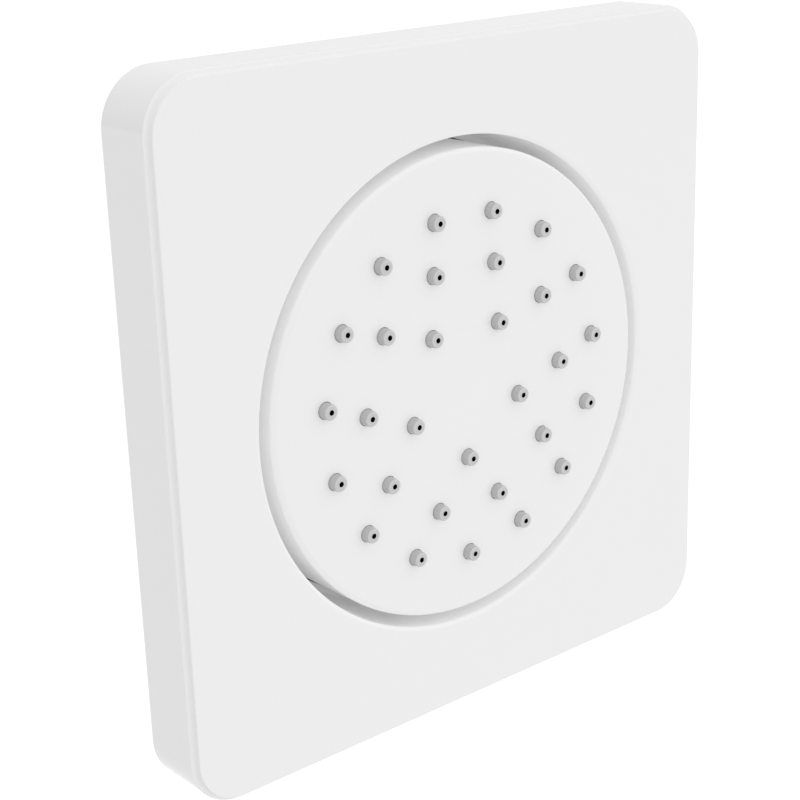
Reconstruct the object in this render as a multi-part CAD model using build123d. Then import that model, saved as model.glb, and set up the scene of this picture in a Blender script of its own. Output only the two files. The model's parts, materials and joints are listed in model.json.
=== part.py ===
from build123d import *

import os
from math import acos, cos, degrees, radians, sin, sqrt

# A square shower body jet: a wall plate with a round spray head that tilts on a ball.
# Frame, in millimetres: X to the right, Y into the wall, Z up. The wall's surface is the plane Y = 0
# and the axis of the jet is the Y axis, so the front of the jet faces -Y.

# Fits
FIT = 0.2
SLIP = 0.05
SWING_GAP = 0.2

# Wall plate
PLATE_SIDE = 120.0
PLATE_DEPTH = 12.6
PLATE_CORNER = 9.4
PLATE_WALL = 2.4
RIM_INSET = 0.85
RIM_STEP = 1.25
EDGE_ROUND = 0.2
GROOVE_WIDTH = 2.1
GROOVE_DEPTH = 16.2
OPENING_ROUND = 0.8
OPENING_WALL = 1.8
GROOVE_FLOOR_WALL = 1.5
GROOVE_FILLET = 0.8
RIB_WALL = 1.6
RIB_HEIGHT = 4.5
RIB_OFFSET = 22.0
PEG_R = 2.2
PEG_CHAMFER = 0.6
PEG_TO_SCREW = 10.5

# Mounting cup
FLANGE_WALL = 2.0
FLANGE_GAP = 3.6
FLANGE_CORNER = 8.0
SCREW_HOLE_R = 2.25
SCREW_EDGE = 6.0
GRIP_WALL = 1.2
GRIP_RIM = 1.0
GRIP_RIM_HEIGHT = 0.8
GRIP_SOCKET_WALL = 1.4
GRIP_SOCKET_HEIGHT = 5.5
GRIP_SOCKET_FLOOR = 0.8
SPIGOT_GAP = 0.3
SHOULDER_LAND = 2.5
SHOULDER_HEIGHT = 2.5
CUP_WALL = 2.0
CUP_FLOOR_WALL = 2.5
CUP_FILLET = 2.5
CUP_RIB_HEIGHT = 2.5
CUP_RIB_COUNT = 8
HUB_LAND = 3.0
HUB_GAP = 1.0
SEAL_WIDTH = 2.0
SEAL_HEIGHT = 2.0

# Ball stud and inlet; the tail has the major diameter of a G 1/2 thread
BALL_R = 8.0
NECK_R = 5.6
WATERWAY_R = 4.0
HEX_FLATS = 24.0
HEX_HEIGHT = 2.6
HEX_CLEARANCE = 1.0
THREAD_R = 10.48
THREAD_LENGTH = 12.0
THREAD_RELIEF = 1.0
THREAD_RELIEF_DEPTH = 0.9
THREAD_CHAMFER = 1.0
WASHER_WIDTH = 3.6
WASHER_HEIGHT = 1.0
LOCK_NUT_FLATS = 27.0
LOCK_NUT_HEIGHT = 6.0
LOCK_NUT_CHAMFER = 1.0
LOCK_NUT_CHAMFER_HEIGHT = 0.5
INLET_R = 7.6
INLET_DEPTH = 9.0
REGULATOR_HEIGHT = 4.6
REGULATOR_RING_R = 0.8
REGULATOR_JET_R = 3.4
REGULATOR_CORE_R = 1.7
REGULATOR_SPOKE = 1.0
REGULATOR_SPOKE_COUNT = 3
REGULATOR_SPOKE_DEG = 90.0
FILTER_HEIGHT = 3.2
FILTER_WALL = 0.9
FILTER_HOLE_R = 0.7
FILTER_PITCH = 2.5
FILTER_INNER_COUNT = 6
FILTER_OUTER_COUNT = 12

# Ball joint
TILT_DEG = 6.0
SEAT_WALL = 1.45
SEAT_FRONT = 1.2
SEAT_BACK = 4.4
BALL_SEAL_HEIGHT = 3.6
BALL_SEAL_BACK = 2.6
SOCKET_WALL = 2.0
SOCKET_BACK = 2.7
SOCKET_NUT_WALL = 1.45
SOCKET_NUT_FRONT = 1.4
SOCKET_NUT_BACK = 7.5
SOCKET_NUT_FLATS = 23.0
SOCKET_MOUTH = 2.0

# Spray head
HEAD_R = 41.3
HEAD_PROUD = 0.18
HEAD_ROUND = 1.0
FACE_WALL = 1.85
HEAD_SIDE_WALL = 2.0
HEAD_LAP = 0.6
MAT_WALL = 1.4
MAT_MARGIN = 1.18
NOZZLE_PLATE_WALL = 1.0
NOZZLE_PLATE_RIM = 0.9
PILLAR_R = 1.5
CHAMBER_HEIGHT = 2.4
LIP_WALL = 1.2
LIP_R = 5.6
BACK_WALL = 2.4
BACK_RIB_HEIGHT = 3.0
BACK_RIB_COUNT = 6
LAND_WIDTH = 2.6
CHAMBER_RING_R = 0.75
HEAD_SCREW_COUNT = 6
HEAD_SCREW_R = 0.9
HEAD_SCREW_LENGTH = 5.8
HEAD_SCREW_CAP_R = 1.8
HEAD_SCREW_CAP_HEIGHT = 1.3
HEAD_SCREW_CAP_CHAMFER = 0.43
HEAD_SCREW_DEG = 90.0
BOSS_WALL = 1.4

# Nozzles, in three rings: the count and first angle of each, and its distance from what lies outside it
OUTER_RING_COUNT = 15
OUTER_RING_DEG = 6.0
OUTER_RING_EDGE = 10.6
MIDDLE_RING_COUNT = 10
MIDDLE_RING_DEG = 0.0
MIDDLE_RING_PITCH = 8.55
INNER_RING_COUNT = 5
INNER_RING_DEG = -90.0
INNER_RING_PITCH = 9.4
NOZZLE_BASE_R = 1.42
NOZZLE_TIP_R = 1.33
NOZZLE_REACH = 1.61
NOZZLE_ROUND = 0.33
NOZZLE_GAP = 0.1
ORIFICE_R = 0.46
ORIFICE_LENGTH = 1.2
ORIFICE_ENTRY_R = 1.0

# Depths of the head's layers, from the front backwards
plate_front = -PLATE_DEPTH
face_front = plate_front - HEAD_PROUD
nozzle_tip = face_front - NOZZLE_REACH
face_back = face_front + FACE_WALL
mat_back = face_back + MAT_WALL
nozzle_plate_back = mat_back + NOZZLE_PLATE_WALL
back_front = nozzle_plate_back + CHAMBER_HEIGHT
back_rear = back_front + BACK_WALL
lip_rear = back_front + LIP_WALL
land_rear = back_front - FIT
groove_floor = plate_front + GROOVE_DEPTH
head_rear = groove_floor + HEAD_LAP
pivot = lip_rear + FIT + BALL_SEAL_HEIGHT + BALL_SEAL_BACK

# Radii of the ball joint, from the ball outwards
seat_inner_r = BALL_R + FIT
seat_outer_r = seat_inner_r + SEAT_WALL
pocket_r = seat_outer_r + FIT
socket_nut_r = pocket_r + SOCKET_NUT_WALL
socket_bore_r = pocket_r + 2 * FIT
socket_thread_r = socket_nut_r + SLIP
socket_r = socket_thread_r + SOCKET_WALL
socket_nut_corner_r = SOCKET_NUT_FLATS / sqrt(3)

# Room for the head, tilted both ways at once
cone = acos(cos(radians(TILT_DEG)) ** 2)
opening_r = HEAD_R + GROOVE_WIDTH
opening_tube_r = opening_r + OPENING_WALL
opening_tube_end = groove_floor + GROOVE_FLOOR_WALL
floor_r = sqrt(HEAD_R**2 + (head_rear - pivot) ** 2) + SWING_GAP
spigot_r = opening_tube_r + FIT
spigot_floor = opening_tube_end + SPIGOT_GAP
shoulder_r = spigot_r + SHOULDER_LAND
shoulder_back = spigot_floor + SHOULDER_HEIGHT
cup_r = opening_r + FIT
cup_outer_r = cup_r + CUP_WALL
seal_r = cup_outer_r + SLIP
nut_swing = SOCKET_NUT_BACK * cos(cone) + socket_nut_corner_r * sin(cone)
hex_front = pivot + nut_swing + HEX_CLEARANCE
hex_back = hex_front + HEX_HEIGHT
cup_floor = hex_back + WASHER_HEIGHT
cup_back = cup_floor + CUP_FLOOR_WALL
lock_nut_front = cup_back + WASHER_HEIGHT
lock_nut_back = lock_nut_front + LOCK_NUT_HEIGHT
thread_front = lock_nut_back + THREAD_RELIEF
tail_end = thread_front + THREAD_LENGTH + THREAD_CHAMFER
inlet_floor = tail_end - INLET_DEPTH
hub_hole_r = THREAD_R + FIT
washer_r = hub_hole_r + WASHER_WIDTH
lock_nut_corner_r = LOCK_NUT_FLATS / sqrt(3)
hub_r = lock_nut_corner_r + HUB_GAP

# Layout of the flange
flange_side = PLATE_SIDE - 2 * (PLATE_WALL + FLANGE_GAP)
screw_at = flange_side / 2 - SCREW_EDGE
peg_x = screw_at - PEG_TO_SCREW
grip_inner_r = PEG_R + SLIP
grip_outer_r = grip_inner_r + GRIP_WALL
grip_socket_r = grip_outer_r + SLIP
grip_front = -FLANGE_WALL - GRIP_SOCKET_HEIGHT

# Layout of the head
head_inner_r = HEAD_R - HEAD_SIDE_WALL
outer_ring_r = HEAD_R - OUTER_RING_EDGE
middle_ring_r = outer_ring_r - MIDDLE_RING_PITCH
inner_ring_r = middle_ring_r - INNER_RING_PITCH
mat_r = outer_ring_r + NOZZLE_BASE_R + MAT_MARGIN
land_r = mat_r + FIT
boss_r = HEAD_SCREW_R + SLIP + BOSS_WALL
back_r = head_inner_r - FIT
head_screw_at = back_r - HEAD_SCREW_CAP_R
chamber_ring_at = land_r + CHAMBER_RING_R + FIT
pillar_at = (inner_ring_r + middle_ring_r) / 2


def rod(radius, start, end, x=0.0, z=0.0):
    """A round bar along Y from start to end."""
    bar = Cylinder(radius, end - start, align=(Align.CENTER, Align.CENTER, Align.MIN))
    return Pos(x, start, z) * Rot(X=-90) * bar


def tube(outer, inner, start, end, x=0.0, z=0.0):
    """A round tube along Y from start to end."""
    return rod(outer, start, end, x, z) - rod(inner, start, end, x, z)


def slab(side, corner, start, end):
    """A square block with rounded corners, along Y from start to end."""
    outline = Plane((0, start, 0), (1, 0, 0), (0, 1, 0)) * RectangleRounded(side, side, corner)
    return extrude(outline, end - start)


def hexagon(flats, start, end):
    """A hexagon bar along Y from start to end."""
    outline = Plane((0, start, 0), (1, 0, 0), (0, 1, 0)) * RegularPolygon(flats / 2, 6, major_radius=False)
    return extrude(outline, end - start)


def turned(*outline):
    """A solid turned about the Y axis from an outline of radius and depth."""
    return revolve(Polygon(*outline, align=None), Axis.Y)


def ring_of(count, radius, first=0.0):
    """Places, as X and Z, of a ring of evenly spaced features."""
    angles = [radians(first + 360 / count * index) for index in range(count)]
    return [(radius * cos(angle), radius * sin(angle)) for angle in angles]


def ball(radius):
    """A sphere about the pivot of the ball joint."""
    return Pos(0, pivot, 0) * Sphere(radius)


def front_edges(solid):
    """The edges of the foremost face."""
    return solid.faces().sort_by(Axis.Y)[0].edges()


def circles(solid, radius, tolerance=1e-4):
    """The round edges of one radius, from front to back."""
    edges = solid.edges().filter_by(GeomType.CIRCLE)
    return edges.filter_by(lambda edge: abs(edge.radius - radius) < tolerance).sort_by(Axis.Y)


nozzle_places = [
    *ring_of(INNER_RING_COUNT, inner_ring_r, INNER_RING_DEG),
    *ring_of(MIDDLE_RING_COUNT, middle_ring_r, MIDDLE_RING_DEG),
    *ring_of(OUTER_RING_COUNT, outer_ring_r, OUTER_RING_DEG),
]
pillar_places = ring_of(INNER_RING_COUNT, pillar_at, -INNER_RING_DEG)
screw_places = [(x * screw_at, z * screw_at) for x in (-1, 1) for z in (-1, 1)]
peg_places = [(x * peg_x, z * screw_at) for x in (-1, 1) for z in (-1, 1)]
head_screw_places = ring_of(HEAD_SCREW_COUNT, head_screw_at, HEAD_SCREW_DEG)


def plate_ribs():
    """Pairs of ribs from the tube of the opening to each side wall of the plate."""
    inner = sqrt((opening_r + OPENING_WALL / 2) ** 2 - RIB_OFFSET**2)
    outer = PLATE_SIDE / 2 - PLATE_WALL / 2
    start = plate_front + PLATE_WALL / 2
    height = PLATE_WALL / 2 + RIB_HEIGHT
    rib = Box(RIB_WALL, height, outer - inner, align=(Align.CENTER, Align.MIN, Align.MIN))
    pair = [Pos(side * RIB_OFFSET, start, inner) * rib for side in (-1, 1)]
    return [Rot(Y=turn) * one for turn in (0, 90, 180, 270) for one in pair]


def plate_peg(x, z):
    """A peg behind the plate, chamfered at its tip."""
    tip = -FLANGE_WALL
    peg = rod(PEG_R, plate_front + PLATE_WALL / 2, tip, x, z)
    return chamfer(circles(peg, PEG_R)[-1], PEG_CHAMFER)


def face_plate():
    """Square shell, open behind, with a stepped rim and a tube that ends in the floor of the groove."""
    ledge = plate_front + RIM_STEP
    body = slab(PLATE_SIDE, PLATE_CORNER, ledge, 0)
    body = fillet(front_edges(body), EDGE_ROUND)
    face = slab(PLATE_SIDE - 2 * RIM_INSET, PLATE_CORNER - RIM_INSET, plate_front, ledge)
    body += fillet(front_edges(face), EDGE_ROUND)
    body -= slab(PLATE_SIDE - 2 * PLATE_WALL, PLATE_CORNER - PLATE_WALL, plate_front + PLATE_WALL, 0)
    body += rod(opening_tube_r, plate_front + PLATE_WALL / 2, opening_tube_end)
    body += plate_ribs()
    body += [plate_peg(x, z) for x, z in peg_places]
    body -= rod(floor_r, plate_front, opening_tube_end)
    body -= rod(opening_r, plate_front, groove_floor)
    body = fillet(circles(body, opening_r)[-1], GROOVE_FILLET)
    return fillet(circles(body, opening_r)[0], OPENING_ROUND)


def cup_ribs():
    """Radial webs behind the floor of the cup."""
    inner = hub_r + HUB_LAND / 2
    outer = cup_outer_r - CUP_FILLET
    start = cup_back - CUP_FLOOR_WALL / 2
    height = CUP_RIB_HEIGHT + CUP_FLOOR_WALL / 2
    web = Box(outer - inner, height, RIB_WALL, align=(Align.MIN, Align.MIN, Align.CENTER))
    turn = 360 / CUP_RIB_COUNT
    return [Rot(Y=turn * (index + 0.5)) * Pos(inner, start, 0) * web for index in range(CUP_RIB_COUNT)]


def mounting_cup():
    """Flange on the wall, cup in the wall's recess and hub for the inlet, moulded as one."""
    rib_back = cup_back + CUP_RIB_HEIGHT
    bowl = turned(
        (cup_r, spigot_floor),
        (spigot_r, spigot_floor),
        (spigot_r, -FLANGE_WALL),
        (shoulder_r, -FLANGE_WALL),
        (shoulder_r, shoulder_back),
        (cup_outer_r, shoulder_back),
        (cup_outer_r, cup_back),
        (hub_hole_r, cup_back),
        (hub_hole_r, cup_floor),
        (cup_r, cup_floor),
    )
    bowl = fillet(circles(bowl, cup_r)[-1], CUP_FILLET)
    bowl = fillet(circles(bowl, cup_outer_r)[-1], CUP_FILLET)
    flange = slab(flange_side, FLANGE_CORNER, -FLANGE_WALL, 0) - rod(spigot_r, -FLANGE_WALL, 0)
    cup = bowl + flange
    cup += tube(hub_r + HUB_LAND, hub_r, cup_back - CUP_FLOOR_WALL / 2, rib_back)
    cup += cup_ribs()
    wall = grip_socket_r + GRIP_SOCKET_WALL
    cup += [rod(wall, grip_front, -FLANGE_WALL / 2, x, z) for x, z in peg_places]
    cup -= [rod(grip_socket_r, grip_front, -GRIP_SOCKET_FLOOR, x, z) for x, z in peg_places]
    return cup - [rod(SCREW_HOLE_R, -FLANGE_WALL, 0, x, z) for x, z in screw_places]


def wall_seal():
    """Soft ring round the cup, against the back of its shoulder."""
    return tube(seal_r + SEAL_WIDTH, seal_r, shoulder_back, shoulder_back + SEAL_HEIGHT)


def plate_grips():
    """Sleeves with a rim, one in each socket of the flange."""
    rim_front = grip_front - GRIP_RIM_HEIGHT
    sleeves = []
    for x, z in peg_places:
        sleeve = tube(grip_outer_r, grip_inner_r, rim_front, -FLANGE_WALL, x, z)
        sleeve += tube(grip_outer_r + GRIP_RIM, grip_inner_r, rim_front, grip_front, x, z)
        sleeves.append(sleeve)
    return Compound(sleeves)


def ball_stud():
    """Turned inlet: ball, neck, hexagon shoulder and threaded tail, bored through."""
    stud = ball(BALL_R) + rod(NECK_R, pivot, hex_back) + hexagon(HEX_FLATS, hex_front, hex_back)
    tail = rod(THREAD_R, hex_back, tail_end)
    tail = chamfer(circles(tail, THREAD_R)[-1], THREAD_CHAMFER)
    stud += tail - tube(THREAD_R, THREAD_R - THREAD_RELIEF_DEPTH, lock_nut_back, thread_front)
    stud -= rod(WATERWAY_R, pivot - BALL_R, inlet_floor)
    return stud - rod(INLET_R, inlet_floor, tail_end)


def hub_washer():
    """Washer between the shoulder and the floor of the cup."""
    return tube(HEX_FLATS / 2, hub_hole_r, hex_back, cup_floor)


def nut_washer():
    """Washer between the cup and the lock nut."""
    return tube(washer_r, hub_hole_r, cup_back, lock_nut_front)


def lock_nut():
    """Hexagon nut with chamfered corners."""
    nut = hexagon(LOCK_NUT_FLATS, lock_nut_front, lock_nut_back)
    flat_r = lock_nut_corner_r - LOCK_NUT_CHAMFER
    nut &= turned(
        (0, lock_nut_front),
        (lock_nut_corner_r, lock_nut_front),
        (lock_nut_corner_r, lock_nut_back - LOCK_NUT_CHAMFER_HEIGHT),
        (flat_r, lock_nut_back),
        (0, lock_nut_back),
    )
    return nut - rod(THREAD_R + SLIP, lock_nut_front, lock_nut_back)


def flow_regulator():
    """Insert with a spoked core in its jet and a groove for its ring."""
    outer = INLET_R - SLIP
    back = inlet_floor + REGULATOR_HEIGHT
    groove = regulator_ring_place()
    body = rod(outer, inlet_floor, back)
    body -= tube(outer, outer - 2 * REGULATOR_RING_R, groove - REGULATOR_RING_R, groove + REGULATOR_RING_R)
    body -= rod(REGULATOR_JET_R, inlet_floor, back)
    core = rod(REGULATOR_CORE_R, inlet_floor, back)
    reach = REGULATOR_JET_R + REGULATOR_SPOKE / 2
    spoke = Box(reach, REGULATOR_HEIGHT / 2, REGULATOR_SPOKE, align=(Align.MIN, Align.MAX, Align.CENTER))
    for index in range(REGULATOR_SPOKE_COUNT):
        turn = REGULATOR_SPOKE_DEG + 360 / REGULATOR_SPOKE_COUNT * index
        core += Rot(Y=turn) * Pos(0, back, 0) * spoke
    return body + core


def regulator_ring_place():
    """Depth of the middle of the regulator's ring."""
    return inlet_floor + REGULATOR_HEIGHT / 2


def o_ring(radius, cord_r, depth):
    """A round-section ring about the Y axis."""
    return Pos(0, depth, 0) * Rot(X=90) * Torus(radius, cord_r)


def regulator_o_ring():
    """Ring round the flow regulator."""
    return o_ring(INLET_R - REGULATOR_RING_R - SLIP, REGULATOR_RING_R - SLIP, regulator_ring_place())


def inlet_filter():
    """Strainer cup with a drilled floor."""
    front = inlet_floor + REGULATOR_HEIGHT + SLIP
    outer = INLET_R - SLIP
    cup = rod(outer, front, front + FILTER_HEIGHT)
    cup -= rod(outer - FILTER_WALL, front, front + FILTER_HEIGHT - FILTER_WALL)
    inner_holes = ring_of(FILTER_INNER_COUNT, FILTER_PITCH)
    outer_holes = ring_of(FILTER_OUTER_COUNT, 2 * FILTER_PITCH)
    holes = [(0, 0), *inner_holes, *outer_holes]
    return cup - [rod(FILTER_HOLE_R, front, front + FILTER_HEIGHT, x, z) for x, z in holes]


def ball_seat():
    """Ring with concentric spherical faces behind the ball."""
    shell = ball(seat_outer_r) - ball(seat_inner_r)
    return shell & rod(seat_outer_r, pivot - SEAT_FRONT, pivot + SEAT_BACK)


def ball_seal():
    """Soft ring in front of the ball, hollowed to the ball's shape."""
    front = lip_rear + FIT
    return rod(socket_bore_r - FIT, front, front + BALL_SEAL_HEIGHT) - ball(seat_inner_r)


def spray_face():
    """Round cup with the nozzle holes, a land for the seal and screw bosses inside."""
    cup = fillet(front_edges(rod(HEAD_R, face_front, head_rear)), HEAD_ROUND)
    cup -= rod(head_inner_r, face_back, head_rear)
    floor = face_back - FACE_WALL / 2
    cup += tube(land_r + LAND_WIDTH, land_r, floor, land_rear)
    cup += [rod(boss_r, floor, land_rear, x, z) for x, z in head_screw_places]
    cup -= [rod(HEAD_SCREW_R + SLIP, face_back, land_rear, x, z) for x, z in head_screw_places]
    cup -= rod(land_r, face_back, head_rear)
    return cup - [rod(NOZZLE_BASE_R + NOZZLE_GAP, face_front, face_back, x, z) for x, z in nozzle_places]


def nozzle():
    """One tapered nozzle on the axis, from the sheet to its tip."""
    return turned(
        (0, mat_back - MAT_WALL / 2),
        (NOZZLE_BASE_R, mat_back - MAT_WALL / 2),
        (NOZZLE_BASE_R, face_front),
        (NOZZLE_TIP_R, nozzle_tip + NOZZLE_ROUND),
        (NOZZLE_TIP_R - NOZZLE_ROUND, nozzle_tip),
        (0, nozzle_tip),
    )


def nozzle_bore():
    """The waterway of one nozzle on the axis."""
    return turned(
        (0, nozzle_tip),
        (ORIFICE_R, nozzle_tip),
        (ORIFICE_R, nozzle_tip + ORIFICE_LENGTH),
        (ORIFICE_ENTRY_R, mat_back),
        (0, mat_back),
    )


def nozzle_mat():
    """Soft sheet behind the face with all the nozzles on it."""
    mat = rod(mat_r, face_back, mat_back)
    mat += [Pos(x, 0, z) * nozzle() for x, z in nozzle_places]
    return mat - [Pos(x, 0, z) * nozzle_bore() for x, z in nozzle_places]


def nozzle_plate():
    """Drilled plate behind the mat, held off the back by its rim and pillars."""
    plate = rod(mat_r, mat_back, nozzle_plate_back)
    plate += tube(mat_r, mat_r - NOZZLE_PLATE_RIM, mat_back, back_front)
    plate += [rod(PILLAR_R, mat_back, back_front, x, z) for x, z in pillar_places]
    return plate - [rod(ORIFICE_ENTRY_R, mat_back, nozzle_plate_back, x, z) for x, z in nozzle_places]


def chamber_o_ring():
    """Ring between the land of the face and the groove of the back."""
    return o_ring(chamber_ring_at, CHAMBER_RING_R, land_rear + CHAMBER_RING_R)


def head_back_ribs():
    """Radial webs behind the head's back, from the socket outwards."""
    inner = socket_thread_r + SOCKET_WALL / 2
    web = Box(
        land_r - inner,
        BACK_RIB_HEIGHT + BACK_WALL / 2,
        RIB_WALL,
        align=(Align.MIN, Align.MIN, Align.CENTER),
    )
    turn = 360 / BACK_RIB_COUNT
    start = back_rear - BACK_WALL / 2
    return [Rot(Y=turn * index) * Pos(inner, start, 0) * web for index in range(BACK_RIB_COUNT)]


def head_back():
    """Back of the water chamber with the socket for the ball."""
    groove_back = land_rear + 2 * CHAMBER_RING_R
    groove_r = CHAMBER_RING_R + SLIP
    thread_start = pivot - SOCKET_NUT_FRONT - FIT
    socket_end = pivot + SOCKET_BACK
    back = rod(back_r, back_front, back_rear) + rod(socket_r, back_front, socket_end) + head_back_ribs()
    back -= tube(chamber_ring_at + groove_r, chamber_ring_at - groove_r, back_front, groove_back)
    back -= rod(LIP_R, back_front, lip_rear)
    back -= rod(socket_bore_r, lip_rear, thread_start)
    back -= rod(socket_thread_r, thread_start, socket_end)
    return back - [rod(HEAD_SCREW_R + FIT, back_front, back_rear, x, z) for x, z in head_screw_places]


def head_screws():
    """Pan-headed screws through the back into the bosses of the face."""
    screws = []
    for x, z in head_screw_places:
        shank = rod(HEAD_SCREW_R, back_rear - HEAD_SCREW_LENGTH, back_rear, x, z)
        cap = rod(HEAD_SCREW_CAP_R, back_rear, back_rear + HEAD_SCREW_CAP_HEIGHT, x, z)
        screws.append(shank + chamfer(circles(cap, HEAD_SCREW_CAP_R)[-1], HEAD_SCREW_CAP_CHAMFER))
    return Compound(screws)


def socket_nut():
    """Nut with a spherical pocket that closes the socket behind the ball."""
    front = pivot - SOCKET_NUT_FRONT
    flange = pivot + SOCKET_BACK + SLIP
    end = pivot + SOCKET_NUT_BACK
    nut = rod(socket_nut_r, front, end) + hexagon(SOCKET_NUT_FLATS, flange, end)
    nut -= ball(pocket_r) + rod(pocket_r, front, pivot)
    return nut - rod(NECK_R + SOCKET_MOUTH, pivot, end)


NODES = [
    face_plate,
    mounting_cup,
    wall_seal,
    plate_grips,
    ball_stud,
    hub_washer,
    nut_washer,
    lock_nut,
    flow_regulator,
    regulator_o_ring,
    inlet_filter,
    ball_seat,
    ball_seal,
    spray_face,
    nozzle_mat,
    nozzle_plate,
    chamber_o_ring,
    head_back,
    head_screws,
    socket_nut,
]

os.makedirs("parts", exist_ok=True)
for node in NODES:
    export_step(node(), f"parts/{node.__name__}.step")
print(f"pivot {pivot:.3f}, cone {degrees(cone):.2f} degrees, floor of the groove {groove_floor:.3f}")
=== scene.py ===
"""Looks of a square shower body jet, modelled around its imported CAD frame.

The frame is X to the right, Y into the wall and Z up, with the wall's surface at Y = 0. Every piece is modelled
in millimetres, as it would be drawn, and is scaled to the frame's metres when it is finished.
"""

import json
import logging
import math
from collections.abc import Callable, Iterator
from contextlib import contextmanager
from dataclasses import dataclass, field
from enum import Enum
from typing import Any

import bmesh
import bpy
from mathutils import Matrix, Quaternion, Vector


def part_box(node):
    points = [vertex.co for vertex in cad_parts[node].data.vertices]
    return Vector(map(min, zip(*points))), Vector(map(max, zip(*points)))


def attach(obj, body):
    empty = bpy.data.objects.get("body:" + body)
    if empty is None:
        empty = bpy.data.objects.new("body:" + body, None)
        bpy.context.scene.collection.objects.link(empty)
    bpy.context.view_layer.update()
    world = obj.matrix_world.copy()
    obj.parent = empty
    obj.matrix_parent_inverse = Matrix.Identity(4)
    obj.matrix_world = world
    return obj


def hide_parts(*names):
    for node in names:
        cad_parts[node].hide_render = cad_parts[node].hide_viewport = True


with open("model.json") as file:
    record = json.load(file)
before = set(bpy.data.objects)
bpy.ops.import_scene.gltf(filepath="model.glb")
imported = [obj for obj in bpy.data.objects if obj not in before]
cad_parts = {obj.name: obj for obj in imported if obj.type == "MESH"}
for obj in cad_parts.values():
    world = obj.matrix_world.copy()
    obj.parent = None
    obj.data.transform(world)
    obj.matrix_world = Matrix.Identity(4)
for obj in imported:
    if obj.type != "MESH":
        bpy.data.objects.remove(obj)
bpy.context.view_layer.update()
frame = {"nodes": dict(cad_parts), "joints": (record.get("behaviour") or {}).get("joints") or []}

log = logging.getLogger("body_jet")

PER_METRE = 1000.0
NEAR = 1e-3
SMOOTH_DEG = 40.0

Outline = list[tuple[float, float]]
Piece = bpy.types.Object


class Element(Enum):
    """Kinds of mesh element that can be picked in edit mode."""

    EDGE = "EDGE"
    FACE = "FACE"


class Solid(Enum):
    """Ways to combine two solids."""

    ADD = "UNION"
    CUT = "DIFFERENCE"
    COMMON = "INTERSECT"


class Marks(Enum):
    """Marks that the making of a surface leaves on it."""

    MOULDED = "even, fine texture of a mould"
    TURNED = "rings of a lathe tool"


def node_box(node: str) -> tuple[Vector, Vector]:
    """Corners of a CAD node in millimetres.

    Args:
        node: Name of the CAD node.

    Returns:
        The lowest and the highest corner.
    """
    low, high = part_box(node)
    return low * PER_METRE, high * PER_METRE


def pivot_depth() -> float:
    """Depth of the ball's centre in millimetres."""
    return frame["joints"][0]["pos_m"][1] * PER_METRE


def arc(centre: tuple[float, float], radius: float, start_deg: float, end_deg: float, steps: int) -> Outline:
    """Points along a round stretch of an outline.

    Args:
        centre: Radius and depth of the arc's centre.
        radius: Radius of the arc.
        start_deg: Angle of the first point, from the radius axis towards the depth axis.
        end_deg: Angle of the last point.
        steps: Number of straight steps.

    Returns:
        The arc's points, both ends included.
    """
    angles = [math.radians(start_deg + (end_deg - start_deg) * index / steps) for index in range(steps + 1)]
    return [(centre[0] + radius * math.cos(angle), centre[1] + radius * math.sin(angle)) for angle in angles]


def ring_of(count: int, radius: float, first_deg: float = 0.0) -> list[Vector]:
    """Places of evenly spaced features round the jet's axis.

    Args:
        count: Number of features.
        radius: Distance from the axis.
        first_deg: Angle of the first feature, from X towards Z.

    Returns:
        One vector in the XZ plane for each feature.
    """
    angles = [math.radians(first_deg + 360 / count * index) for index in range(count)]
    return [Vector((radius * math.cos(angle), 0.0, radius * math.sin(angle))) for angle in angles]


@contextmanager
def editing(piece: Piece) -> Iterator[None]:
    """Opens one piece in edit mode with nothing selected, and closes it afterwards.

    Args:
        piece: The mesh object to edit.
    """
    bpy.ops.object.select_all(action="DESELECT")
    piece.select_set(True)
    bpy.context.view_layer.objects.active = piece
    bpy.ops.object.mode_set(mode="EDIT")
    bpy.ops.mesh.select_mode(type="VERT")
    bpy.ops.mesh.select_all(action="DESELECT")
    yield
    bpy.ops.object.mode_set(mode="OBJECT")


def pick(piece: Piece, kind: Element, test: Callable[[Any], bool]) -> None:
    """Selects the edges or faces of the piece in edit mode that pass a test.

    Args:
        piece: The piece that is open in edit mode.
        kind: Whether edges or faces are picked.
        test: Takes one edge or face and says whether it is picked.
    """
    bpy.ops.mesh.select_mode(type=kind.value)
    bpy.ops.mesh.select_all(action="DESELECT")
    mesh = bmesh.from_edit_mesh(piece.data)
    elements = mesh.edges if kind is Element.EDGE else mesh.faces
    for element in elements:
        if test(element):
            element.select_set(True)
    bmesh.update_edit_mesh(piece.data)


def extrude(x: float, y: float, z: float) -> None:
    """Extrudes what is selected in edit mode by a step."""
    bpy.ops.mesh.extrude_region_move(TRANSFORM_OT_translate={"value": (x, y, z)})


def is_round_of(edge: bmesh.types.BMEdge) -> bool:
    """Whether an edge is an outer corner between a side and a face that looks forward."""
    if len(edge.link_faces) != 2 or not edge.is_convex:
        return False
    tilts = sorted(face.normal.y for face in edge.link_faces)
    return tilts[0] < -0.99 and abs(tilts[1]) < 0.01


def is_cove(edge: bmesh.types.BMEdge) -> bool:
    """Whether an edge is an inner corner between a side and a face that looks forward."""
    if len(edge.link_faces) != 2 or edge.is_convex:
        return False
    tilts = sorted(face.normal.y for face in edge.link_faces)
    return tilts[0] < -0.99 and abs(tilts[1]) < 0.01


def open_edge_at(depth: float) -> Callable[[bmesh.types.BMEdge], bool]:
    """A test for the open edges in one plane across the jet's axis.

    Args:
        depth: Y of the plane.

    Returns:
        A test that pick can use.
    """
    return lambda edge: edge.is_boundary and all(abs(vert.co.y - depth) < NEAR for vert in edge.verts)


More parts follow.
